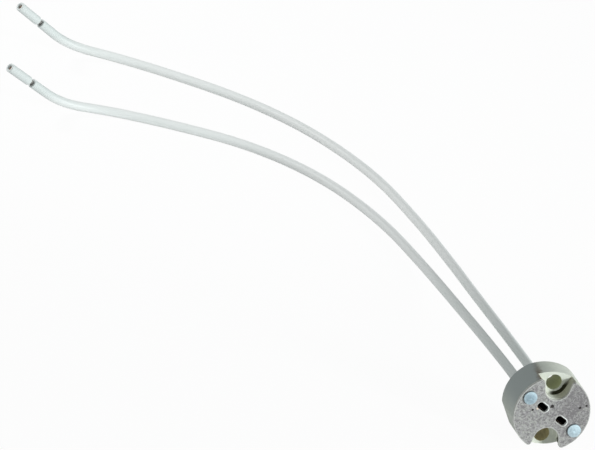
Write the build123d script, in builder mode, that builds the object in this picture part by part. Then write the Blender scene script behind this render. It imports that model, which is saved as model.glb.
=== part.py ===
"""Two-pin low-voltage lamp socket: ceramic body, mica cover, two spring contacts and two leads.

Millimetres. +Z is up, the lamp side looks along -Y and the leads leave along +Y.
The socket lies on the wall below its lower screw pocket, with both leads on the floor behind it.
The origin is at floor level, under the middle of the socket.
"""

import math
import os

from build123d import *

# Ceramic body, a short round block
body_diameter = 17.0
body_height = 8.3
flat_angle = 30  # a second flat lies opposite
flat_depth = 0.45  # how far each flat lies inside the round
pad_depth = 0.17  # the same for the wall behind each screw pocket
pad_radius = 9.8  # of that wall, which curves less than the rest
back_chamfer = 0.25
corner_round = 0.4  # where a screw pocket opens through the rim

# Screw pockets, with a clearance hole through each floor
screw_angle = 90
screw_pitch = 12.0
screw_hole_diameter = 3.5
pocket_radius = 2.7
pocket_depth = 2.65
pocket_flare = 25  # degrees that each side leans out towards the rim

# Mica cover on the lamp side
cover_thickness = 0.6
cover_inset = 0.05  # the cover's edge lies this far inside the body's edge
cover_corner = 0.7  # where a notch opens through the rim
notch_margin = 0.12  # how much rounder the cover's notches are than the pockets
notch_flare = 12

# Pin slots, on a line through the middle of the cover
contact_angle = -30
pin_pitch = 5.5
slot_length = 2.7
slot_width = 1.65
slot_corner = 0.75

# Rivets that hold the cover, on the same line
rivet_rim = 1.95  # from the rim of the body to the middle of a rivet
rivet_head_diameter = 2.9
rivet_head_height = 0.5
rivet_head_edge = 0.35  # the head's straight side below its crown
rivet_shank_diameter = 1.7
rivet_clearance = 0.1  # round the shank
rivet_tail_diameter = 2.6
rivet_tail_height = 0.5
rivet_bore_diameter = 1.0
rivet_bore_depth = 2.4
recess_diameter = 3.2
recess_depth = 0.9

# Spring contacts, each a folded strip with a rolled crimp
strip_thickness = 0.3
grip_gap = 1.0  # between the two leaves
leaf_start = 1.35  # distance from the middle of the socket to the free end of a leaf
leaf_end = 3.75  # to the start of the turn that joins the leaves
leaf_flare = 0.3  # how far the free end bends outwards
contact_top_gap = 0.15  # between a contact and the cover
crimp_height = 3.0
crimp_neck = 0.5  # straight stretch before the crimp
crimp_jog = 0.6  # length of the bend that brings a leaf out to the crimp
crimp_opening = 50  # degrees left open in the rolled crimp

# Chambers in the body, each for one contact
chamber_clearance = 0.2
chamber_floor = 2.4  # ceramic left behind a chamber

# Leads, each an insulated copper conductor
lead_diameter = 2.1
conductor_diameter = 1.0
conductor_clearance = 0.05  # between the copper and what surrounds it
lead_hole_clearance = 0.1
lead_along = 0.89  # lead axis, along the line of the slots
lead_across = 1.69  # lead axis, square to that line
lead_start_gap = 0.1  # from the end of the insulation to its stop in the body
lead_straight = 10.0  # first run behind the body
conductor_stub = 0.3  # copper showing past the crimp
strip_gap = 1.15  # copper showing at the far end
stripped_length = 6.9  # cut insulation, pulled along the copper but left on it
conductor_recess = 0.4  # from the tip of the cut insulation to the copper

# Routes of the leads along the floor, after the first run
floor_line = lead_diameter / 2
right_route = [
    (1.7, 36.7, 8.7),
    (3.3, 62.8, 6.15),
    (5.7, 88.9, 3.1),
    (6.5, 115.6, floor_line),
    (3.6, 141.6, floor_line),
    (-4.9, 164.5, floor_line),
    (-16.5, 180.1, floor_line),
    (-30.2, 190.9, floor_line),
    (-42.6, 198.7, floor_line),
    (-54.9, 199.7, 2.5),
    (-63.4, 196.6, 8.35),
]
left_route = [
    (-1.5, 36.2, 6.2),
    (-0.5, 62.4, 3.6),
    (-0.2, 87.9, 1.55),
    (-2.5, 114.0, floor_line),
    (-10.2, 136.9, floor_line),
    (-23.2, 152.4, floor_line),
    (-39.7, 160.2, floor_line),
    (-53.6, 164.8, floor_line),
    (-65.3, 163.7, 2.0),
    (-74.2, 160.6, 7.45),
]

# Worked out from the sizes above
body_radius = body_diameter / 2
axis_height = body_radius - pad_depth
rivet_pitch = body_diameter - 2 * rivet_rim
notch_radius = pocket_radius + notch_margin
overall_height = rivet_head_height + cover_thickness + body_height
lamp_face = rivet_head_height - overall_height / 2
back_face = overall_height / 2
chamber_depth = body_height - chamber_floor
leaf_offset = (grip_gap + strip_thickness) / 2
crimp_radius = conductor_diameter / 2 + conductor_clearance + strip_thickness / 2
chamber_width = 2 * (leaf_offset + leaf_flare + strip_thickness / 2 + chamber_clearance)
chamber_start = leaf_start - chamber_clearance
chamber_end = leaf_end + leaf_offset + strip_thickness / 2 + chamber_clearance
crimp_chamber_radius = crimp_radius + strip_thickness / 2 + chamber_clearance
lead_hole_radius = lead_diameter / 2 + lead_hole_clearance
sides = {"right": 0, "left": 180}
routes = {"right": right_route, "left": left_route}


def socket_plane(depth, turn=0.0):
    """A plane across the socket's axis, seen from the lamp side, at a depth below the cover's face."""
    angle = math.radians(turn)
    return Plane(
        origin=(0, lamp_face + depth, axis_height),
        x_dir=(math.cos(angle), 0, math.sin(angle)),
        z_dir=(0, -1, 0),
    )


def contact_plane(depth, side):
    """A socket plane with its X along the line of pin slots, out towards one side."""
    return socket_plane(depth, contact_angle + sides[side])


def body_outline():
    """The round block, with a shallower curve behind each screw pocket and two flats."""
    Circle(body_radius)
    for angle in (screw_angle, screw_angle + 180):
        with PolarLocations(pad_radius + pad_depth - body_radius, 1, start_angle=angle):
            Circle(pad_radius, mode=Mode.INTERSECT)
    with PolarLocations(body_radius - flat_depth, 2, start_angle=flat_angle):
        Rectangle(body_radius, body_diameter, align=(Align.MIN, Align.CENTER), mode=Mode.SUBTRACT)


def pocket_outline(radius, flare):
    """Both screw pockets: round about the screw, with sides that open towards the rim."""
    lean = math.radians(flare)
    near, near_width = screw_pitch / 2 - radius * math.sin(lean), radius * math.cos(lean)
    far, far_width = near + body_radius * math.cos(lean), near_width + body_radius * math.sin(lean)
    corners = [(near, -near_width), (far, -far_width), (far, far_width), (near, near_width)]
    with PolarLocations(screw_pitch / 2, 2, start_angle=screw_angle):
        Circle(radius, mode=Mode.SUBTRACT)
    with PolarLocations(0, 2, start_angle=screw_angle):
        Polygon(*corners, align=None, mode=Mode.SUBTRACT)


def rim_corners(sketch, radius, flare):
    """The corners where the sides of the pockets in a sketch meet its rim."""
    lean = math.radians(flare)

    def on_side(vertex):
        turn = math.atan2(vertex.Y, vertex.X) - math.radians(screw_angle)
        reach = math.hypot(vertex.X, vertex.Y)
        outwards = reach * abs(math.cos(turn)) - screw_pitch / 2
        half_width = radius / math.cos(lean) + outwards * math.tan(lean)
        return outwards > 0 and abs(reach * abs(math.sin(turn)) - half_width) < 0.01

    return sketch.vertices().filter_by(on_side)


# Ceramic body
with BuildPart() as body:
    with BuildSketch(socket_plane(cover_thickness + pocket_depth)):
        body_outline()
    extrude(amount=pocket_depth - body_height)
    chamfer(body.faces().sort_by(Axis.Y)[-1].outer_wire().edges(), back_chamfer)
    with BuildSketch(socket_plane(cover_thickness)) as front:
        body_outline()
        pocket_outline(pocket_radius, pocket_flare)
        fillet(rim_corners(front, pocket_radius, pocket_flare), corner_round)
    extrude(amount=-pocket_depth)
    with BuildSketch(socket_plane(cover_thickness)):
        with PolarLocations(screw_pitch / 2, 2, start_angle=screw_angle):
            Circle(screw_hole_diameter / 2)
        with PolarLocations(rivet_pitch / 2, 2, start_angle=contact_angle):
            Circle(rivet_shank_diameter / 2 + rivet_clearance)
    extrude(amount=-body_height, mode=Mode.SUBTRACT)
    with BuildSketch(socket_plane(cover_thickness + body_height)):
        with PolarLocations(rivet_pitch / 2, 2, start_angle=contact_angle):
            Circle(recess_diameter / 2)
    extrude(amount=recess_depth, mode=Mode.SUBTRACT)
    for side in sides:
        with BuildSketch(contact_plane(cover_thickness, side)):
            with Locations((chamber_start, 0)):
                Rectangle(chamber_end - chamber_start, chamber_width, align=(Align.MIN, Align.CENTER))
            with Locations((lead_along, lead_across)):
                Circle(crimp_chamber_radius)
        extrude(amount=-chamber_depth, mode=Mode.SUBTRACT)
        with BuildSketch(contact_plane(cover_thickness + body_height, side)):
            with Locations((lead_along, lead_across)):
                Circle(lead_hole_radius)
        extrude(amount=chamber_floor, mode=Mode.SUBTRACT)
body.part.label = "ceramic_body"

# Mica cover
with BuildPart() as cover:
    with BuildSketch(socket_plane(cover_thickness)) as plate:
        Circle(body_radius - cover_inset)
        pocket_outline(notch_radius, notch_flare)
        fillet(rim_corners(plate, notch_radius, notch_flare), cover_corner)
        with PolarLocations(pin_pitch / 2, 2, start_angle=contact_angle):
            RectangleRounded(slot_length, slot_width, slot_corner, mode=Mode.SUBTRACT)
        with PolarLocations(rivet_pitch / 2, 2, start_angle=contact_angle):
            Circle(rivet_shank_diameter / 2 + rivet_clearance, mode=Mode.SUBTRACT)
    extrude(amount=cover_thickness)
cover.part.label = "mica_cover"

# Rivets: a low crown on the cover, and a rolled tail in the recess behind the body
with BuildPart() as rivets:
    for side in sides:
        seat = contact_plane(0, side).from_local_coords((rivet_pitch / 2, 0))
        tail_seat = cover_thickness + body_height - recess_depth
        tail_end = tail_seat + rivet_tail_height
        shank = rivet_shank_diameter / 2
        head = rivet_head_diameter / 2
        tail = rivet_tail_diameter / 2
        bore = rivet_bore_diameter / 2
        with BuildSketch(Plane(origin=seat, x_dir=(1, 0, 0), z_dir=(0, 0, 1))):
            with BuildLine():
                Polyline((0, -rivet_head_height), (0, tail_end - rivet_bore_depth), (bore, tail_end - rivet_bore_depth))
                Line((bore, tail_end - rivet_bore_depth), (bore, tail_end))
                TangentArc((bore, tail_end), (tail, tail_seat), tangent=(1, 0))
                Polyline((tail, tail_seat), (shank, tail_seat), (shank, 0), (head, 0), (head, -rivet_head_edge))
                TangentArc((0, -rivet_head_height), (head, -rivet_head_edge), tangent=(1, 0))
            make_face()
        revolve(axis=Axis(seat, (0, 1, 0)))
rivets.part.label = "cover_rivets"


def contact(side):
    """A strip folded into two leaves, with a crimp rolled from the end of one of them."""
    bottom = cover_thickness + chamber_depth
    leaf_height = chamber_depth - contact_top_gap
    plane = contact_plane(bottom, side)
    crimp_line = lead_across - crimp_radius
    with BuildPart() as part:
        with BuildLine(plane) as leaves:
            FilletPolyline(
                (leaf_start, -leaf_offset - leaf_flare),
                (leaf_start + leaf_flare, -leaf_offset),
                (leaf_end, -leaf_offset),
                radius=strip_thickness,
            )
            ThreePointArc((leaf_end, -leaf_offset), (leaf_end + leaf_offset, 0), (leaf_end, leaf_offset))
            FilletPolyline(
                (leaf_end, leaf_offset),
                (lead_along + crimp_neck + crimp_jog, leaf_offset),
                (lead_along + crimp_neck, crimp_line),
                (lead_along, crimp_line),
                radius=strip_thickness,
            )
        with BuildSketch(Plane(origin=leaves.line @ 0, x_dir=(0, -1, 0), z_dir=leaves.line % 0)):
            Rectangle(leaf_height, strip_thickness, align=(Align.MIN, Align.CENTER))
        sweep(path=leaves.line)
        with BuildLine(plane) as crimp:
            CenterArc((lead_along, lead_across), crimp_radius, -90, crimp_opening - 360)
        with BuildSketch(Plane(origin=crimp.line @ 0, x_dir=(0, -1, 0), z_dir=crimp.line % 0)):
            Rectangle(crimp_height, strip_thickness, align=(Align.MIN, Align.CENTER))
        sweep(path=crimp.line)
    return part.part


def corner_radii(points):
    """For each corner of a route, the largest easy bend that its two runs allow."""
    radii = []
    for before, corner, after in zip(points, points[1:], points[2:]):
        run_in = Vector(corner) - Vector(before)
        run_out = Vector(after) - Vector(corner)
        half_turn = math.radians(run_in.get_angle(run_out)) / 2
        radii.append(0.45 * min(run_in.length, run_out.length) / math.tan(half_turn))
    return radii


def lead(side):
    """One lead: its insulation, the copper inside, and the cut end of the insulation near the tip."""
    exit_x, _, exit_z = contact_plane(0, side).from_local_coords((lead_along, lead_across))
    insulation_start = back_face - chamber_floor + lead_start_gap
    crimp_top = back_face - chamber_floor - crimp_height
    first_bend = (exit_x, back_face + lead_straight, exit_z)
    bends = [first_bend, *routes[side]]
    radii = corner_radii([(exit_x, insulation_start, exit_z), *bends])
    tip_direction = (Vector(bends[-1]) - Vector(bends[-2])).normalized()
    strip_start = Vector(bends[-1]) + tip_direction * strip_gap
    copper_end = strip_start + tip_direction * (stripped_length - conductor_recess)
    bore = conductor_diameter / 2 + conductor_clearance
    print(side, "lead bends", [round(radius, 1) for radius in radii])

    with BuildPart() as insulation:
        with BuildLine() as path:
            FilletPolyline((exit_x, insulation_start, exit_z), *bends, radius=radii)
        with BuildSketch(Plane(origin=path.line @ 0, z_dir=path.line % 0)) as section:
            Circle(lead_diameter / 2)
            Circle(bore, mode=Mode.SUBTRACT)
        sweep(path=path.line)
    swept_length = path.wire().length
    swept_share = insulation.part.volume / (section.sketch.area * swept_length)
    print(f"{side} insulation {swept_length:.1f} mm, volume over section times length {swept_share:.5f}")

    with BuildPart() as conductor:
        copper_points = [(exit_x, crimp_top - conductor_stub, exit_z), *bends[:-1], copper_end]
        with BuildLine() as path:
            FilletPolyline(*copper_points, radius=radii)
        with BuildSketch(Plane(origin=path.line @ 0, z_dir=path.line % 0)):
            Circle(conductor_diameter / 2)
        sweep(path=path.line)
    print(f"{side} conductor {path.wire().length:.1f} mm")

    with BuildPart() as stripped_end:
        with BuildSketch(Plane(origin=strip_start, z_dir=tip_direction)):
            Circle(lead_diameter / 2)
            Circle(bore, mode=Mode.SUBTRACT)
        extrude(amount=stripped_length)
    return {"insulation": insulation.part, "conductor": conductor.part, "stripped_end": stripped_end.part}


os.makedirs("parts", exist_ok=True)
export_step(body.part, "parts/ceramic_body.step")
export_step(cover.part, "parts/mica_cover.step")
export_step(rivets.part, "parts/cover_rivets.step")
for side in sides:
    pieces = {"contact": contact(side), **lead(side)}
    for name, piece in pieces.items():
        piece.label = f"{name}_{side}"
        export_step(piece, f"parts/{piece.label}.step")
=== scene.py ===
# %% [markdown]
# This is a socket for a small low-voltage halogen lamp: a round ceramic block, a mica cover held
# by two rivets, and two white leads that leave through the back. The solids come in at their real
# size, in metres. Here they get their finishes, and the leads get the shape of real wire.

# %% Load the solids
import math

import bpy
from mathutils import Matrix, Vector


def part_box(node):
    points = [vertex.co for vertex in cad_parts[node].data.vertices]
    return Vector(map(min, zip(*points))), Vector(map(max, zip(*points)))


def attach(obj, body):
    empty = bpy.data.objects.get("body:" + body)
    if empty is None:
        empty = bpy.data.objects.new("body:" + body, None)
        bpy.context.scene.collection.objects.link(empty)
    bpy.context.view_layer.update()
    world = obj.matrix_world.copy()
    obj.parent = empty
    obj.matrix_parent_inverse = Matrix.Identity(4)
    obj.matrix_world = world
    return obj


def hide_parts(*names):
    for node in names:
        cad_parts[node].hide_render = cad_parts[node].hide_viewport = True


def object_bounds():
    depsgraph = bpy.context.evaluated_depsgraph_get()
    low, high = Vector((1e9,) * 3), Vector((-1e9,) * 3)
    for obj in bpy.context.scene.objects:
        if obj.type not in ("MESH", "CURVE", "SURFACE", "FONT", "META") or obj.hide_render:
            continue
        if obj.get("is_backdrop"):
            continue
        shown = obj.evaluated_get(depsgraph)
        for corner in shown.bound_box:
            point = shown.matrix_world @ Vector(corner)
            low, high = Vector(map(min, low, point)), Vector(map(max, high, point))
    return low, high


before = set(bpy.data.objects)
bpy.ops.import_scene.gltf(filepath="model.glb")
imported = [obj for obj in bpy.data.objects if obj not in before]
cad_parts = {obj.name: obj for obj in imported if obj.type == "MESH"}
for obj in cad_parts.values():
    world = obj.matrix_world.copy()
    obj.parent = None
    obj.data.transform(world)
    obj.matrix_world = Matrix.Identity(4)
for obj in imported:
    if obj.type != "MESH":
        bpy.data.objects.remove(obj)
cad_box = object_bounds()
scene = bpy.context.scene
scene.view_settings.view_transform = "Standard"
print("solids:", ", ".join(sorted(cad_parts)))
print("box in mm:", [round(1000 * side, 1) for side in cad_box[1] - cad_box[0]])

# %% [markdown]
# The photograph was taken from far away with a long lens, from the left and a little above, with
# the camera tipped to one side. Three turns say that: round the upright axis, down, and about the
# line of sight. The lens follows from the scale of the picture, and the camera then stands where
# the middle of the lamp side falls on its own pixel, so no lens shift is needed.

# %% Place the camera
photo_size = Vector((595, 450))
lamp_side_pixel = Vector((552.1, 414.1))
pixels_per_metre = 4740
camera_distance = 2.0
camera_azimuth = math.radians(-20.10)
camera_elevation = math.radians(20.55)
camera_roll = math.radians(12.92)

camera = bpy.data.objects.new("camera", bpy.data.cameras.new("camera"))
scene.collection.objects.link(camera)
scene.camera = camera
camera.data.sensor_fit = "HORIZONTAL"
camera.data.lens = camera.data.sensor_width * pixels_per_metre * camera_distance / photo_size.x

cover_low, cover_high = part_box("mica_cover")
lamp_side = (cover_low + cover_high) / 2
lamp_side.y = cover_low.y
camera_turn = (
    Matrix.Rotation(camera_azimuth, 4, "Z")
    @ Matrix.Rotation(math.pi / 2 - camera_elevation, 4, "X")
    @ Matrix.Rotation(camera_roll, 4, "Z")
)
off_centre = (lamp_side_pixel - photo_size / 2) / pixels_per_metre
camera_offset = camera_turn @ Vector((-off_centre.x, off_centre.y, camera_distance))
camera.matrix_world = Matrix.Translation(lamp_side + camera_offset) @ camera_turn
print("lens in mm:", round(camera.data.lens), "camera at", [round(x, 3) for x in camera.location])

# %% [markdown]
# Each lead is a length of stranded copper in a white silicone sleeve. It leaves the back of the
# block level, sinks to the table and curves away, and its end stands up a little. The route could
# be drawn by hand, but a short list of points in metres is easier to check and to move.

# %% The route of each lead
lead_diameter = 0.0021
floor_line = lead_diameter / 2
routes = {
    "right": [
        (0.0017, 0.0367, 0.00870),
        (0.0033, 0.0628, 0.00615),
        (0.0057, 0.0889, 0.00310),
        (0.0065, 0.1156, floor_line),
        (0.0036, 0.1416, floor_line),
        (-0.0049, 0.1645, floor_line),
        (-0.0165, 0.1801, floor_line),
        (-0.0302, 0.1909, floor_line),
        (-0.0426, 0.1987, floor_line),
        (-0.0549, 0.1997, 0.00250),
        (-0.0634, 0.1966, 0.00835),
    ],
    "left": [
        (-0.0015, 0.0362, 0.00620),
        (-0.0005, 0.0624, 0.00360),
        (-0.0002, 0.0879, 0.00155),
        (-0.0025, 0.1140, floor_line),
        (-0.0102, 0.1369, floor_line),
        (-0.0232, 0.1524, floor_line),
        (-0.0397, 0.1602, floor_line),
        (-0.0536, 0.1648, floor_line),
        (-0.0653, 0.1637, 0.00200),
        (-0.0742, 0.1606, 0.00745),
    ],
}
for side, route in routes.items():
    print(side, "route:", len(route), "points")

# %% [markdown]
# A polyline with rounded corners would look like bent rod, so the line is a smooth spline that is
# only pulled towards the points of the route. Blender makes a mesh from the spline, whose corners
# are points along it, and neither of the two is kept.

# %% A smooth line from points
samples_per_run = 24


def centreline(name, points):
    """Points along a smooth spline that has these as its control points."""
    curve = bpy.data.curves.new(name, "CURVE")
    curve.dimensions = "3D"
    curve.resolution_u = samples_per_run
    spline = curve.splines.new("NURBS")
    spline.points.add(len(points) - 1)
    for control, point in zip(spline.points, points):
        control.co = (*point, 1)
    spline.order_u = 3
    spline.use_endpoint_u = True
    drawn = bpy.data.objects.new(name, curve)
    line = bpy.data.meshes.new_from_object(drawn)
    found = [vertex.co.copy() for vertex in line.vertices]
    bpy.data.objects.remove(drawn)
    bpy.data.curves.remove(curve)
    bpy.data.meshes.remove(line)
    return found


def lengths_along(points):
    """How far along a line each of its points lies."""
    lengths = [0.0]
    for before, after in zip(points, points[1:]):
        lengths.append(lengths[-1] + (after - before).length)
    return lengths


print("a line gets", samples_per_run, "points to a run")

# %% [markdown]
# The copper starts in the crimp of its contact, and the solid says where. From there the line goes
# straight out of the block, follows the route and ends just inside the cut end of the sleeve.

# %% Draw the centreline of each lead
lead_straight = 0.010
strip_gap = 0.00115
stripped_length = 0.0069
copper_recess = 0.0004
past_sleeve = strip_gap + stripped_length - copper_recess
face_tolerance = 0.00001
back_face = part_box("ceramic_body")[1].y


def copper_start(side):
    """The middle of the copper's first face, in the crimp."""
    corners = [vertex.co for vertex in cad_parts[f"conductor_{side}"].data.vertices]
    first = min(corner.y for corner in corners)
    face = [corner for corner in corners if corner.y - first < face_tolerance]
    low_x, high_x = min(c.x for c in face), max(c.x for c in face)
    low_z, high_z = min(c.z for c in face), max(c.z for c in face)
    return Vector(((low_x + high_x) / 2, first, (low_z + high_z) / 2))


centrelines = {}
for side, route in routes.items():
    start = copper_start(side)
    first_bend = Vector((start.x, back_face + lead_straight, start.z))
    sleeve_end = Vector(route[-1])
    tip_direction = (sleeve_end - Vector(route[-2])).normalized()
    copper_end = sleeve_end + tip_direction * past_sleeve
    centrelines[side] = centreline(f"{side}_line", [start, first_bend, *route, copper_end])
    copper_mm = round(1000 * lengths_along(centrelines[side])[-1], 1)
    print(side, "lead:", len(centrelines[side]), "points,", copper_mm, "mm of copper")

# %% [markdown]
# A tube needs two things at each point of its line: which way the line runs, and a direction across
# it. A direction chosen afresh each time would spin and wring the tube, so it is carried from point
# to point by the smallest turn. A second function takes a stretch out of a line.

# %% Directions along a line


def across_line(points):
    """At each point of a line, a direction across it that doesn't twist along the way."""
    tangents = [(after - before).normalized() for before, after in zip(points, points[1:])]
    tangents.append(tangents[-1])
    across = tangents[0].orthogonal().normalized()
    found = [across]
    for before, after in zip(tangents, tangents[1:]):
        across = before.rotation_difference(after) @ across
        found.append(across)
    return list(zip(points, tangents, found))


def stretch(points, start, end):
    """The part of a line between two lengths along it."""
    lengths = lengths_along(points)
    kept = []
    for before, after, near, far in zip(points, points[1:], lengths, lengths[1:]):
        for length in (start, end):
            if near <= length < far:
                kept.append(before.lerp(after, (length - near) / (far - near)))
        if start < far < end:
            kept.append(after)
    return kept


for side, line in centrelines.items():
    directions = [tangent for _, tangent, _ in across_line(line)]
    turned = math.degrees(directions[0].angle(directions[-1]))
    print(side, "lead turns by", round(turned), "degrees from end to end")

# %% [markdown]
# Sleeves and strands are rows of rings, joined by four-sided faces. Written for any number of rings
# and corners, the same few lines make both. Each piece rides with the socket from the start.

# %% Meshes made of rings


def new_piece(name, corners, faces):
    """A smooth mesh object that rides with the socket."""
    mesh = bpy.data.meshes.new(name)
    mesh.from_pydata(corners, [], faces)
    mesh.polygons.foreach_set("use_smooth", [True] * len(mesh.polygons))
    mesh.update()
    piece = bpy.data.objects.new(name, mesh)
    scene.collection.objects.link(piece)
    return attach(piece, "root")


def ring_faces(rings, sides, closed):
    """Four-sided faces between neighbouring rings of corners."""
    faces = []
    for ring in range(rings if closed else rings - 1):
        for k in range(sides):
            here, there = ring * sides, (ring + 1) % rings * sides
            faces.append((here + k, here + (k + 1) % sides, there + (k + 1) % sides, there + k))
    return faces


def circle(centre, radius, across, other, sides):
    """Corners on a circle that lies in two directions."""
    turns = [math.tau * k / sides for k in range(sides)]
    return [centre + radius * (math.cos(turn) * across + math.sin(turn) * other) for turn in turns]


print("three rings of four corners take", len(ring_faces(3, 4, closed=False)), "faces")

# %% [markdown]
# A bevelled curve would give a plain rod with square ends. Wire that has been cut shows a wall, a
# slightly rounded edge and the copper inside, so the sleeve is swept as a mesh: rings out along its
# skin and back along its bore. The rings are carried along the line without twisting.

# %% One cut length of sleeve
sleeve_bore = 0.00055
cut_edge = 0.00012
sleeve_sides = 32
edge_steps = 4


def sleeve(name, points):
    """A cut length of insulation round a line."""
    lengths = lengths_along(points)
    total = lengths[-1]
    outer = lead_diameter / 2
    quarter = [math.pi / 2 * step / edge_steps for step in range(edge_steps + 1)]
    edge = [(cut_edge * (1 - math.cos(a)), outer - cut_edge * (1 - math.sin(a))) for a in quarter]
    skin = [(length, outer) for length in lengths if cut_edge < length < total - cut_edge]
    far_edge = [(total - length, radius) for length, radius in reversed(edge)]
    bore = [(length, sleeve_bore) for length in reversed(lengths)]
    profile = [*edge, *skin, *far_edge, *bore]
    stations = across_line(points)
    corners = []
    for length, radius in profile:
        nearest = min(range(len(lengths)), key=lambda i: abs(lengths[i] - length))
        point, tangent, across = stations[nearest]
        centre = point + tangent * (length - lengths[nearest])
        corners.extend(circle(centre, radius, across, tangent.cross(across), sleeve_sides))
    return new_piece(name, corners, ring_faces(len(profile), sleeve_sides, closed=True))


print("wall of the sleeve:", round(1000 * (lead_diameter / 2 - sleeve_bore), 2), "mm")

# %% [markdown]
# Each lead has two lengths of sleeve with a gap between them: the long one, and the cut end that was
# pulled along the copper but left on it. They stand for the plain tubes among the solids.

# %% Sleeve both leads
sleeves, cut_ends, sleeve_lines = {}, {}, {}
for side, line in centrelines.items():
    copper_length = lengths_along(line)[-1]
    sleeve_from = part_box(f"insulation_{side}")[0].y - line[0].y
    sleeve_to = copper_length - past_sleeve
    sleeve_lines[side] = stretch(line, sleeve_from, sleeve_to)
    sleeves[side] = sleeve(f"silicone_sleeve_{side}", sleeve_lines[side])
    tip = line[-1] + (line[-1] - line[-2]).normalized() * copper_recess
    cut_line = [*stretch(line, sleeve_to + strip_gap, copper_length), tip]
    cut_ends[side] = sleeve(f"cut_sleeve_{side}", cut_line)
    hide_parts(f"insulation_{side}")
    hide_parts(f"stripped_end_{side}")
    sleeve_mm = round(1000 * lengths_along(sleeve_lines[side])[-1], 1)
    print(side, "sleeve:", sleeve_mm, "mm,", len(sleeves[side].data.polygons), "faces")

# %% [markdown]
# The copper shows in the gap where the sleeve was cut, and at the tip. It is a bundle of fine
# strands, one in the middle and two rings round it, all twisted the same way. Each strand is a thin
# tube that winds round the centreline of its lead. A striped texture on one rod would be lighter,
# but the strands are real enough here to throw their own small shadows at the cut.

# %% One strand
strand_radius = 0.0001
strand_sides = 6
lay_length = 0.018


def strand(stations, lengths, ring, phase):
    """Corners and faces of one strand, closed at both ends."""
    corners = []
    for (point, tangent, across), length in zip(stations, lengths):
        other = tangent.cross(across)
        turn = phase + math.tau * length / lay_length
        outwards = math.cos(turn) * across + math.sin(turn) * other
        sideways = tangent.cross(outwards)
        centre = point + 2 * strand_radius * ring * outwards
        corners.extend(circle(centre, strand_radius, outwards, sideways, strand_sides))
    faces = ring_faces(len(lengths), strand_sides, closed=False)
    last = len(corners) - strand_sides
    faces.append(tuple(reversed(range(strand_sides))))
    faces.append(tuple(range(last, last + strand_sides)))
    return corners, faces


print("strand:", round(2000 * strand_radius, 2), "mm thick, a turn in", round(1000 * lay_length), "mm")

# %% [markdown]
# Strands that touch pack in rings of six, then twelve, round one in the middle. All strands of a lead
# are one mesh, because nothing moves one alone, and it stands for the plain copper rod.

# %% Twist the copper strands
strand_rings = {0: 1, 1: 6, 2: 12}
conductors = {}
for side, line in centrelines.items():
    stations, lengths = across_line(line), lengths_along(line)
    corners, faces = [], []
    for ring, count in strand_rings.items():
        for k in range(count):
            more_corners, more_faces = strand(stations, lengths, ring, math.tau * k / count)
            faces.extend(tuple(len(corners) + i for i in face) for face in more_faces)
            corners.extend(more_corners)
    conductors[side] = new_piece(f"copper_strands_{side}", corners, faces)
    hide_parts(f"conductor_{side}")
    print(side, "copper:", sum(strand_rings.values()), "strands,", len(faces), "faces")

# %% [markdown]
# A lead is free to move, so whoever uses the model needs to know where it leaves the block. For
# each lead, the script prints that.

for side, line in sleeve_lines.items():
    start = centrelines[side][0]
    lengths_along(line)[-1]
    leaves_at = [round(1000 * at, 2) for at in (start.x, back_face, start.z)]
    print(side, "lead leaves the block at", leaves_at, "mm")

# %% [markdown]
# A finish is a tree of shader nodes. Written out node by node, even a simple sum takes four lines,
# so a small class wraps an output socket, and its operators add the Math nodes.

# %% Fields


class Field:
    """A value that varies over a surface: one output of a node."""

    def __init__(self, tree, socket):
        self.tree = tree
        self.socket = socket

    def maths(self, operation, *inputs):
        return self.tree.node("ShaderNodeMath", {"operation": operation}, dict(enumerate(inputs)))

    def output(self, name):
        """Another output of the same node."""
        return Field(self.tree, self.socket.node.outputs[name])

    def least(self, other):
        return self.maths("MINIMUM", self, other)

    def most(self, other):
        return self.maths("MAXIMUM", self, other)

    def __add__(self, other):
        return self.maths("ADD", self, other)

    def __sub__(self, other):
        return self.maths("SUBTRACT", self, other)

    def __rsub__(self, other):
        return self.maths("SUBTRACT", other, self)

    def __mul__(self, other):
        return self.maths("MULTIPLY", self, other)

    def __pow__(self, other):
        return self.maths("POWER", self, other)

    def __abs__(self):
        return self.maths("ABSOLUTE", self)

    __radd__ = __add__
    __rmul__ = __mul__


# %% [markdown]
# Everything else, from a noise to a colour mix, comes from one method that takes the kind of node,
# its settings and what its sockets are fed with. The same tree class serves the world, and a finish
# is a tree that also has a material and its surface shader.

# %% Trees and finishes


class Tree:
    """A tree of shader nodes that is written as expressions."""

    def __init__(self, owner):
        owner.use_nodes = True
        self.nodes = owner.node_tree.nodes
        self.links = owner.node_tree.links

    def node(self, kind, settings=None, inputs=None, output=0):
        """Any node: its settings come first, then the values or links of its sockets."""
        made = self.nodes.new(kind)
        for name, value in (settings or {}).items():
            setattr(made, name, value)
        self.feed(made, inputs or {})
        return Field(self, made.outputs[output])

    def feed(self, node, inputs):
        """Links fields to a node's sockets, and sets plain values on them."""
        for name, value in inputs.items():
            if isinstance(value, Field):
                self.links.new(value.socket, node.inputs[name])
            else:
                node.inputs[name].default_value = value


class Finish(Tree):
    """The material of one kind of surface."""

    def __init__(self, name, **sockets):
        self.material = bpy.data.materials.new(name)
        super().__init__(self.material)
        self.shader = self.nodes["Principled BSDF"]
        self.surface(**sockets)

    def surface(self, **sockets):
        """Sets sockets of the surface shader, with underscores for the spaces in their names."""
        self.feed(self.shader, {name.replace("_", " "): value for name, value in sockets.items()})


# %% [markdown]
# Every finish asks where a point lies, and most use soft blotches of a given size. Places are
# measured from the middle of the lamp side, so that a mask can follow the slots and pockets.

# %% Places and blotches
mm = 0.001


def place(tree):
    """The place on the object, in metres."""
    return tree.node("ShaderNodeTexCoord", output="Object")


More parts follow.
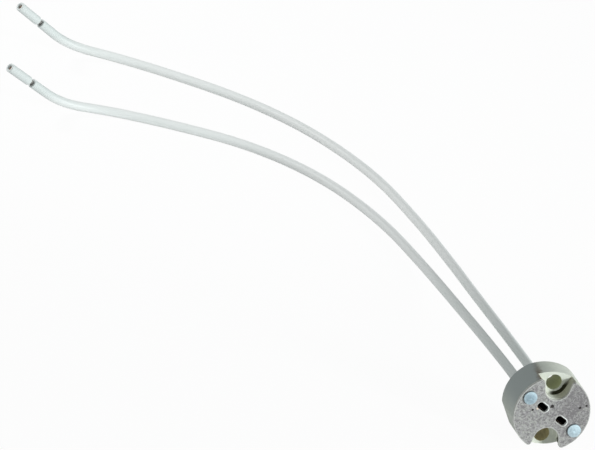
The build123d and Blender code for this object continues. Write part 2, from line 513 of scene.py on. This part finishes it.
def from_lamp_side(tree):
    """How far a point lies to the right of, behind and above the middle of the lamp side."""
    moved = tree.node("ShaderNodeVectorMath", {"operation": "SUBTRACT"}, {0: place(tree), 1: lamp_side})
    split = tree.node("ShaderNodeSeparateXYZ", {}, {"Vector": moved})
    return [split.output(axis) for axis in "XYZ"]


def distance(*sides):
    """The length of a line from its extent along each axis."""
    return sum(side * side for side in sides) ** 0.5


def noise(tree, size, detail=2.0, stretch_by=None):
    """Soft blotches about this many metres across, from 0 to 1."""
    at = place(tree)
    if stretch_by:
        at = tree.node("ShaderNodeMapping", {}, {"Vector": at, "Scale": [1 / by for by in stretch_by]})
    return tree.node("ShaderNodeTexNoise", {}, {"Vector": at, "Scale": 1 / size, "Detail": detail})


print("middle of the lamp side:", [round(at / mm, 2) for at in lamp_side], "mm")

# %% [markdown]
# A mark on a surface is a mask and a colour. The mask rises from 0 to 1 between two values, noise
# makes its edge ragged, and a mix lays the colour where it is 1. Reliefs are too shallow to model,
# so they are bumps. Each of these is one small function.

# %% Masks, mixes and reliefs
soft_edge = 0.1 * mm
ragged_by = 0.4 * mm


def rise(value, low, high):
    """0 below low, 1 above high and a smooth step between. It falls where high is the lower."""
    inputs = {"Value": value, "From Min": low, "From Max": high}
    return value.tree.node("ShaderNodeMapRange", {"interpolation_type": "SMOOTHSTEP"}, inputs)


def between(value, low, high):
    """1 from low to high, with a soft edge outside."""
    return rise(value, low - soft_edge, low) * rise(value, high + soft_edge, high)


def ragged_shift(tree, size):
    """A small shift to either side, for the edge of a mark."""
    return (noise(tree, size, detail=3) - 0.5) * ragged_by


def mixed(mask, first, second):
    """One colour where the mask is 0, the other where it is 1."""
    ends = {6: first, 7: second}
    colours = {socket: end if isinstance(end, Field) else (*end, 1) for socket, end in ends.items()}
    return mask.tree.node("ShaderNodeMix", {"data_type": "RGBA"}, {0: mask, **colours}, output=2)


def bumped(height, depth):
    """A normal that stands for a relief this many metres deep."""
    inputs = {"Height": height, "Distance": depth, "Strength": 1.0}
    return height.tree.node("ShaderNodeBump", {}, inputs)


def coat(finish, *nodes):
    """Gives solids that came in with the frame this finish."""
    for node in nodes:
        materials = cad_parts[node].data.materials
        materials.clear()
        materials.append(finish.material)
    print(finish.material.name, "on", ", ".join(nodes), "with", len(finish.nodes), "nodes")


print("edge of a mask:", soft_edge / mm, "mm soft,", ragged_by / mm, "mm ragged")

# %% [markdown]
# The pockets, slots and rivets are laid out on two lines through the middle: the screws on the
# upright one, the slots and rivets on one that falls 30 degrees to the right. Painted shade, painted
# highlights, split edges and wear follow them, so their sizes are repeated here, and functions give
# the distance from their outlines.

# %% Where the openings lie
screw_reach = 6 * mm
screw_hole_radius = 1.75 * mm
pocket_radius, pocket_flare = 2.7 * mm, math.radians(25)
pocket_floor = 3.25 * mm
notch_radius, notch_flare = 2.82 * mm, math.radians(12)
slot_reach = 2.75 * mm
slot_straight = 0.525 * mm
slot_round = 0.825 * mm
rivet_reach = 6.55 * mm
slot_line = math.radians(-30)


def along_and_across(right, up):
    """The same place, along the line of the slots and square to it."""
    cos, sin = math.cos(slot_line), math.sin(slot_line)
    return right * cos + up * sin, up * cos - right * sin


def from_screw(right, up):
    """Distance from the axis of the nearer screw."""
    return distance(right, abs(up) - screw_reach)


def from_pocket(right, up, radius, flare):
    """Distance outside the wall of the nearer pocket or notch, below zero inside it."""
    outwards, sideways = abs(up) - screw_reach, abs(right)
    along_wall = outwards * math.cos(flare) + sideways * math.sin(flare)
    off_wall = sideways * math.cos(flare) - outwards * math.sin(flare)
    return distance(off_wall, along_wall.least(0)) - radius


def from_slot(right, up):
    """Distance outside the edge of the nearer pin slot."""
    along, across = along_and_across(right, up)
    past_straight = (abs(abs(along) - slot_reach) - slot_straight).most(0)
    return distance(past_straight, across) - slot_round


apart = {"screws": screw_reach, "slots": slot_reach, "rivets": rivet_reach}
print({name: f"{2 * reach / mm:.1f} mm apart" for name, reach in apart.items()})

# %% [markdown]
# The block is unglazed steatite: a warm white, a little cloudy, with a fine dry grain, and the press
# leaves faint lines round its wall. A plain colour with some gloss would look like plastic, so the
# clouds are colour and the grain and lines are a relief of a hundredth of a millimetre. Noise
# stretched across the axis of the block gives the lines.

# %% Steatite
steatite = Finish("steatite", Roughness=0.65, Specular_IOR_Level=0.3)
steatite_pale = (0.79, 0.80, 0.72)
steatite_dull = (0.70, 0.71, 0.63)
cloud_size, grain_size, press_line_size = 2.5 * mm, 0.12 * mm, 0.4 * mm
press_line_stretch = (12, 1, 12)
steatite_relief = 0.012 * mm
clouds = rise(noise(steatite, cloud_size, detail=3), 0.35, 0.7)
grain = noise(steatite, grain_size)
press_lines = noise(steatite, press_line_size, stretch_by=press_line_stretch)
clean_steatite = mixed(clouds, steatite_pale, steatite_dull)
steatite.surface(Normal=bumped(grain * 0.4 + press_lines, steatite_relief))
print("clean steatite:", len(steatite.nodes), "nodes")

# %% [markdown]
# Painted shade greys the wall, most of all on the upper left and less towards the bottom, and
# where the grey stops a brown smear runs back along it. Marks like these could be painted by hand,
# but a mask made from places on the block stays put whatever its size. Noise shifts the edges, so
# that the marks look settled, not drawn.

# %% Painted wall shade and brown smear
# Painted shade: the grey stands for shade on the wall that faces away from the softbox.
wall_shade_grey = (0.44, 0.47, 0.46)
smear_brown = (0.19, 0.145, 0.10)
wall_radius = 7.9 * mm
wall_tilt = (0.5, 0.2)
faded_share, shade_below = 0.3, 0.2
smear_start, smear_drift = -3.98 * mm, 0.104
smear_half_width = 1.1 * mm

right, back, up = from_lamp_side(steatite)
ragged = ragged_shift(steatite, 0.5 * mm)
outwards = steatite.node("ShaderNodeNewGeometry", output="Normal")
faces_back = steatite.node("ShaderNodeSeparateXYZ", {}, {"Vector": outwards}, output="Y")
near_rim = rise(distance(right, up), wall_radius, wall_radius + soft_edge)
on_wall = rise(abs(faces_back), *wall_tilt) * near_rim
past_smear = right - smear_start - smear_drift * back
faded_shade = rise(right, 0.5 * mm, -3.2 * mm)
edged_shade = rise(past_smear + ragged, 0.4 * mm, -0.2 * mm)
on_left = faded_share * faded_shade + (1 - faded_share) * edged_shade
shaded_wall = on_left * (shade_below + (1 - shade_below) * rise(up, -3.5 * mm, 3.5 * mm))
smeared = rise(abs(past_smear) + 3 * ragged, smear_half_width, 0) * rise(back, 12 * mm, 0.5 * mm)
in_smear = smeared * rise(up, 4 * mm, 6 * mm)
# Painted shade on the upper left of the wall, then the brown smear over it.
steatite_colour = mixed(on_wall * shaded_wall, clean_steatite, wall_shade_grey)
steatite_colour = mixed(on_wall * in_smear, steatite_colour, smear_brown)
print("with the grey wall and the smear:", len(steatite.nodes), "nodes")

# %% [markdown]
# Painted shade darkens the screw holes, olive in the upper one and brown in the lower, and the bend
# of the upper pocket, where it fills the corner between wall and floor and lies as an olive film on
# the wall above it. A dark wedge behind the edge of the cover, on the right wall of the lower pocket,
# gets the same painted shade. The distance from a pocket's wall and the depth of its floor are
# known, so each mask is a few ranges multiplied.

# %% Painted shade in the pockets
# Painted shade: dark and olive colours where shade falls in the holes and pockets.
corner_shade = (0.030, 0.032, 0.012)
wall_shade_olive = (0.46, 0.45, 0.36)
hole_shade_olive = (0.50, 0.52, 0.33)
hole_shade_brown = (0.56, 0.50, 0.30)
shade_width, shade_height = 0.5 * mm, 0.55 * mm
wedge_top, wedge_reach = 0.5 * mm, 1.8 * mm
wedge_start = 7.6 * mm

upper_half = rise(up, -1 * mm, 1 * mm)
wall_gap = from_pocket(right, up, pocket_radius, pocket_flare) + ragged * 0.5
on_pocket_wall = between(wall_gap, -2 * soft_edge, 2 * soft_edge) * between(back, 0, pocket_floor)
in_bend = upper_half * rise(up, 7 * mm, 5.4 * mm) * rise(right, -0.9 * mm, 0.5 * mm)
by_floor = between(back, pocket_floor - shade_height, pocket_floor + soft_edge)
in_corner = in_bend * by_floor * between(wall_gap, -shade_width, soft_edge)
in_wall_shade = upper_half * on_pocket_wall * rise(right, -0.6 * mm, 1.8 * mm)
lower_right = right - up
wedge_depth = wedge_reach * rise(lower_right, wedge_start, wedge_start + 2.2 * mm)
wedge_back = between(back, wedge_top, wedge_top + wedge_depth)
in_wedge = on_pocket_wall * wedge_back * rise(lower_right, wedge_start, wedge_start + 0.8 * mm)
below_floor = rise(back, pocket_floor, pocket_floor + 4 * soft_edge)
in_hole = rise(from_screw(right, up), screw_hole_radius + soft_edge, screw_hole_radius) * below_floor
hole_shade_mix = mixed(upper_half, hole_shade_brown, hole_shade_olive)
# Painted shade in the corner, on the wall, in the wedge and in the holes.
painted_shades = [
    (in_wall_shade, wall_shade_olive),
    (in_corner, corner_shade),
    (in_wedge, corner_shade),
    (in_hole, hole_shade_mix),
]
for mask, pocket_shade in painted_shades:
    steatite_colour = mixed(mask, steatite_colour, pocket_shade)
print("with the dust:", len(steatite.nodes), "nodes")

# %% [markdown]
# Behind the slots, the two chambers of the contacts are painted black as shade. They are boxes
# along the line of the slots, so their mask is three ranges multiplied.

# %% Painted shade in the chambers
# Painted shade: black inside the chambers, where little light reaches.
chamber_shade = (0.006, 0.005, 0.005)
chamber_half_width, chamber_reach = 1.4 * mm, 5.0 * mm
chamber_top, chamber_bottom = 0.65 * mm, 6.7 * mm

along, across = along_and_across(right, up)
in_chamber = (
    between(across, -chamber_half_width, chamber_half_width)
    * between(along, -chamber_reach, chamber_reach)
    * between(back, chamber_top, chamber_bottom)
)
# Painted shade inside the chambers.
steatite.surface(Base_Color=mixed(in_chamber, steatite_colour, chamber_shade))
coat(steatite, "ceramic_body")

# %% [markdown]
# The cover is pressed mica: thin flakes laid in every direction and baked hard, so it is mottled
# grey with a purple or a beige cast from flake to flake. A photograph of mica wrapped over the plate
# would repeat or stretch, so cells give the flakes, one tone each, and noises of three sizes blur
# them, roughen them and darken whole patches.

# %% Mica flakes
mica = Finish("pressed_mica", Specular_IOR_Level=0.4)
mica_dark = (0.200, 0.185, 0.190)
mica_mauve = (0.490, 0.462, 0.472)
mica_beige = (0.490, 0.490, 0.448)
flake_size, speckle_size, blotch_size, patch_size = 0.32 * mm, 0.2 * mm, 0.6 * mm, 3 * mm
shaded_right, shaded_up = 4 * mm, 2.5 * mm
patch_shift = 4 * mm
mica_relief = 0.012 * mm
flakes = mica.node(
    "ShaderNodeTexVoronoi", {}, {"Vector": place(mica), "Scale": 1 / flake_size}, output="Color"
)
flake_tone = mica.node("ShaderNodeSeparateColor", {}, {"Color": flakes})
mica_cast = mixed(flake_tone.output("Green"), mica_mauve, mica_beige)
speckle = noise(mica, speckle_size)
blotch = noise(mica, blotch_size, detail=3)
patch = noise(mica, patch_size)
right, _, up = from_lamp_side(mica)
from_shaded = distance(right - shaded_right, up - shaded_up) + (patch - 0.5) * patch_shift
shaded = rise(from_shaded, 6 * mm, 1.5 * mm)
layered = flake_tone * 0.45 + speckle * 0.9 + blotch * 0.2 + patch * 0.2
right_half = rise(right, -4 * mm, 4 * mm)
mica_tone = rise(layered - shaded * 0.16 - right_half * 0.08, 0.5, 1.2)
bare_mica = mixed(mica_tone, mica_dark, mica_cast)
mica.surface(
    Roughness=0.42 + 0.2 * flake_tone,
    Normal=bumped(flake_tone * 0.5 + speckle, mica_relief),
)
print("bare mica:", len(mica.nodes), "nodes")

# %% [markdown]
# Where the punch cut the plate, the flakes have split and show pale: round the slots, along the
# notches and at the rim. On the upper right of each slot the rim is whiter, a painted highlight, and
# a dark painted shadow lies beside each rivet on its upper left. All of these follow outlines whose
# distance is known, so each mask is a range of that distance.

# %% Mica edges
split_pale = (0.58, 0.57, 0.54)
# Painted highlight: the whiter rim on the upper right of each slot.
slot_highlight_white = (0.88, 0.88, 0.86)
# The colour of the real specks, and of the painted shadow beside the rivets.
speck_and_shadow_brown = (0.012, 0.009, 0.008)
rivet_head, shadow_width = 1.45 * mm, 0.3 * mm
cover_radius = 8.45 * mm
split_width = 0.3 * mm

along, across = along_and_across(right, up)
ragged = ragged_shift(mica, 0.4 * mm)
slot_edge = from_slot(right, up) + ragged * 0.5
from_rim = cover_radius - distance(right, up)
from_notch = from_pocket(right, up, notch_radius, notch_flare)
from_edge = slot_edge.least(from_notch).least(from_rim)
which_end = along.maths("SIGN", along)
past_slot, past_rivet = along - which_end * slot_reach, along - which_end * rivet_reach
slot_end = rise(past_slot * 0.6 + across * 0.8, 0, 0.7 * mm)
by_rivet = rise(distance(past_rivet, across), rivet_head + shadow_width, rivet_head)
# Painted shadow: a dark crescent beside each rivet on its upper left.
rivet_shadow = by_rivet * rise(across * 0.3 - past_rivet, 0.2 * mm, 1.2 * mm)
mica_colour = mixed(rise(from_edge + ragged, split_width, 0), bare_mica, split_pale)
# Painted highlight on the upper right of each slot.
mica_colour = mixed(rise(slot_edge, split_width, split_width / 2) * slot_end, mica_colour, slot_highlight_white)
# Painted shadow beside each rivet.
mica_colour = mixed(rivet_shadow, mica_colour, speck_and_shadow_brown)
print("with its edges:", len(mica.nodes), "nodes")

# %% [markdown]
# A few dark specks are pressed into the face, and beside the left slot a peach glint is painted as
# a highlight. Noise could scatter such marks, but these are single ones in places of their own, so
# each is a small disc, given in millimetres from the middle of the lamp side.

# %% Mica specks and painted glint
specks = [(-4.56, 0.59, 0.34), (-0.35, 1.74, 0.56), (5.87, 2.00, 0.38), (7.23, 2.60, 0.32)]
# Painted highlight: a small peach glint beside the left slot.
peach_glint = (0.85, 0.68, 0.56)
glint_place = (-3.48, 0.97)
glint_radius, glint_middle = 0.35 * mm, 0.15 * mm

for speck_right, speck_up, speck_radius in specks:
    from_speck = distance(right - speck_right * mm, up - speck_up * mm) + ragged
    in_speck = rise(from_speck, speck_radius * mm, speck_radius * mm / 2)
    mica_colour = mixed(in_speck, mica_colour, speck_and_shadow_brown)
# Painted highlight: the peach glint.
from_glint = distance(right - glint_place[0] * mm, up - glint_place[1] * mm)
in_glint = rise(from_glint, glint_radius, glint_middle)
mica.surface(Base_Color=mixed(in_glint, mica_colour, peach_glint))
coat(mica, "mica_cover")

# %% [markdown]
# The rivets are soft aluminium with a dull bluish skin. Bare metal only mirrors its surroundings, so
# most of the look is in how rough it is. The heads are scuffed, which lightens them in patches, and
# the left one has a darker middle where the rivet set pressed it.

# %% Rivets
rivet_metal = Finish("rivet_metal", Metallic=1.0)
rivet_dull = (0.27, 0.36, 0.41)
rivet_bright = (0.44, 0.54, 0.58)
rivet_pressed = (0.20, 0.27, 0.31)
scuff_size, rivet_relief = 0.35 * mm, 0.06 * mm
right, _, up = from_lamp_side(rivet_metal)
along, across = along_and_across(right, up)
from_rivet = distance(abs(along) - rivet_reach, across)
scuffs = noise(rivet_metal, scuff_size, detail=3)
right_side = rise(along, -4 * mm, 4 * mm)
worn_edge = rise(from_rivet, 1.0 * mm, 1.35 * mm)
rivet_tone = rise(scuffs + right_side * 0.2 + worn_edge * 0.15, 0.3, 0.85)
pressed = rise(from_rivet, 1.1 * mm, 0.2 * mm) * (1 - right_side)
rivet_colour = mixed(rivet_tone, rivet_dull, rivet_bright)
rivet_metal.surface(
    Base_Color=mixed(pressed * scuffs, rivet_colour, rivet_pressed),
    Roughness=0.5 + 0.3 * scuffs,
    Normal=bumped(scuffs, rivet_relief),
)
coat(rivet_metal, "cover_rivets")

# %% [markdown]
# Behind each slot a folded strip of spring bronze waits for the lamp's pin. Its colour is painted
# nearly black as shade, so the slots look empty and dark, with a little dark bronze in patches.

# %% Contacts
contact_metal = Finish("contact_metal", Metallic=1.0, Roughness=0.5)
bronze_patch_size = 0.8 * mm
bronze_patches = noise(contact_metal, bronze_patch_size, detail=3)
# Painted shade: the strips are nearly black, so the slots look dark.
contact_shade_black = (0.015, 0.012, 0.010)
contact_bronze = (0.030, 0.018, 0.012)
contact_metal.surface(Base_Color=mixed(rise(bronze_patches, 0.5, 0.75), contact_shade_black, contact_bronze))
coat(contact_metal, "contact_right", "contact_left")

# %% [markdown]
# The sleeves are white silicone, soft and satin. Light that leaks through such thin tubing could be
# traced, but the dark copper inside would swallow it, so a plain bright white does better. A little
# dust makes the skin uneven, and painted shade darkens it near the block and at the raised ends.

# %% Silicone
silicone = Finish("white_silicone", Roughness=0.5)
silicone_clean = (0.815, 0.82, 0.81)
# Dust in patches, and painted shade near the block and at the raised ends.
silicone_dust_and_shade = (0.77, 0.79, 0.77)
silicone_end_shade = (0.67, 0.70, 0.69)
smudge_size, skin_size, skin_relief = 6 * mm, 0.3 * mm, 0.003 * mm
_, back, up = from_lamp_side(silicone)
smudges = noise(silicone, smudge_size, detail=3)
near_block_shade = rise(back, 120 * mm, 20 * mm)
raised_end_shade = rise(back, 100 * mm, 130 * mm) * rise(up, -6.5 * mm, -2.5 * mm)
dusted_and_shaded_silicone = mixed(rise(smudges + near_block_shade * 0.5, 0.4, 1.1), silicone_clean, silicone_dust_and_shade)
# Painted shade at the raised ends, over the dust and shade near the block.
silicone.surface(
    Base_Color=mixed(raised_end_shade, dusted_and_shaded_silicone, silicone_end_shade),
    Normal=bumped(noise(silicone, skin_size), skin_relief),
)
for piece in (*sleeves.values(), *cut_ends.values()):
    piece.data.materials.append(silicone.material)
print("silicone on", len(sleeves) + len(cut_ends), "sleeves")

# %% [markdown]
# The strands are tinned, so along their length they are a dull grey. Only where the cutter went
# through does the copper show red. The strands' end faces are the only ones with six corners, so
# they are easy to find, and they take the second material.

# %% Tinned copper
tinned_copper = Finish("tinned_copper", Metallic=1.0, Roughness=0.5)
tin_dull = (0.26, 0.26, 0.25)
tin_bright = (0.42, 0.41, 0.39)
tinning_size = 0.6 * mm
tinning = noise(tinned_copper, tinning_size)
tinned_copper.surface(Base_Color=mixed(tinning, tin_dull, tin_bright))

cut_copper = Finish("cut_copper", Metallic=1.0, Roughness=0.6)
copper_brown = (0.30, 0.20, 0.14)
copper_red = (0.48, 0.31, 0.22)
cutter_mark_size = 0.15 * mm
cutter_marks = noise(cut_copper, cutter_mark_size)
cut_copper.surface(Base_Color=mixed(cutter_marks, copper_brown, copper_red))

for piece in conductors.values():
    piece.data.materials.append(tinned_copper.material)
    piece.data.materials.append(cut_copper.material)
    cut_faces = [face for face in piece.data.polygons if len(face.vertices) == strand_sides]
    for face in cut_faces:
        face.material_index = 1
    print(piece.name, "has", len(cut_faces), "cut faces")

# %% [markdown]
# The socket lies on white paper that runs out of sight, so that nothing but the socket shows. Lamps
# strong enough to burn the paper out would burn out the white leads too. The paper therefore glows
# a little, but only for rays that come from the camera or from a mirror, and it still takes the
# shadow of the socket. Far from the socket the glow is full, so that no edge shows.

# %% Floor and backdrop
floor_size = 8.0
floor_white = 0.85
floor_glow = 0.955
glow_start, glow_full = 0.5, 1.5


def seen_directly(tree):
    """1 for what the camera sees, straight or in a reflection or through glass."""
    rays = tree.node("ShaderNodeLightPath")
    kinds = ("Is Camera Ray", "Is Glossy Ray", "Is Transmission Ray")
    return sum(rays.output(kind) for kind in kinds).least(1)


floor_edge = floor_size / 2
floor_corners = [
    (-floor_edge, -floor_edge, 0),
    (floor_edge, -floor_edge, 0),
    (floor_edge, floor_edge, 0),
    (-floor_edge, floor_edge, 0),
]
floor_mesh = bpy.data.meshes.new("floor")
floor_mesh.from_pydata(floor_corners, [], [(0, 1, 2, 3)])
floor = bpy.data.objects.new("floor", floor_mesh)
scene.collection.objects.link(floor)
floor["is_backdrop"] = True

paper = Finish("white_paper", Base_Color=(floor_white, floor_white, floor_white, 1), Roughness=1.0)
as_length = {"operation": "LENGTH"}
from_middle = paper.node("ShaderNodeVectorMath", as_length, {0: place(paper)}, output="Value")
glow_share = floor_glow + (1 - floor_glow) * rise(from_middle, glow_start, glow_full)
glowing = paper.node("ShaderNodeEmission", {}, {"Strength": 1.0})
glow_mask = seen_directly(paper) * glow_share
plain_paper = Field(paper, paper.shader.outputs[0])
paper_mix = paper.node("ShaderNodeMixShader", {}, {0: glow_mask, 1: plain_paper, 2: glowing})
paper.feed(paper.nodes["Material Output"], {"Surface": paper_mix})
floor_mesh.materials.append(paper.material)
print("floor", floor_size, "m wide, glow", floor_glow)

# %% [markdown]
# In the photograph the lamp side is bright on its right and the wall on the left lies in even shade:
# one soft lamp in front and to the right, and a weak bluish light from all round. The world gives the
# even light, and shows plain white to the camera and to mirrors.

# %% Light from all round
sky_light = 0.36
sky_colour = (0.92, 1.0, 1.0, 1)
world = bpy.data.worlds.new("studio")
scene.world = world
studio = Tree(world)
studio.feed(studio.nodes["Background"], {"Color": sky_colour, "Strength": sky_light})
sky = Field(studio, studio.nodes["Background"].outputs[0])
white = studio.node("ShaderNodeBackground", {}, {"Color": (1, 1, 1, 1), "Strength": 1.0})
studio_mix = studio.node("ShaderNodeMixShader", {}, {0: seen_directly(studio), 1: sky, 2: white})
studio.feed(studio.nodes["World Output"], {"Surface": studio_mix})
print("light from all round", sky_light)

# %% [markdown]
# The lamp in front is a square softbox. The leads are brighter than it makes them, but one more
# softbox would fill the shade that shapes the block. A spot does better: it shines from the left
# onto the far half of the leads, and at the block its cone has almost faded out.

# %% Lamps


def hang(lamp, target, direction, reach):
    """Hangs a lamp this far from its target and turns it to face it."""
    lamp_object = bpy.data.objects.new(lamp.name, lamp)
    towards_lamp = Vector(direction).normalized()
    lamp_object.location = Vector(target) + towards_lamp * reach
    lamp_object.rotation_mode = "QUATERNION"
    lamp_object.rotation_quaternion = towards_lamp.to_track_quat("Z", "Y")
    scene.collection.objects.link(lamp_object)
    print(lamp.name, "at", [round(side, 2) for side in lamp_object.location], "m,", lamp.energy, "W")


softbox = bpy.data.lights.new("softbox", "AREA")
softbox.size = 0.6
softbox.energy = 68
softbox.color = (0.94, 1.0, 1.0)
hang(softbox, lamp_side, direction=(0.64, -0.72, 0.25), reach=3.0)

far_half_of_leads = (-0.04, 0.205, 0.0)
lead_spot = bpy.data.lights.new("lead spot", "SPOT")
lead_spot.spot_size = math.radians(31)
lead_spot.spot_blend = 1.0
lead_spot.shadow_soft_size = 0.05
lead_spot.energy = 7.8
lead_spot.color = (1.0, 1.0, 1.0)
hang(lead_spot, far_half_of_leads, direction=(-0.75, 0.25, 0.61), reach=0.6)

# %% [markdown]
# The script prints the boxes of the solids and of the finished model. The finished
# model has to keep the size of the solids.

# %% Print the sizes
boxes = {"cad": cad_box, "visual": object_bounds()}
for name, (low, high) in boxes.items():
    print(name, "box in mm:", [round(side / mm, 1) for side in high - low])
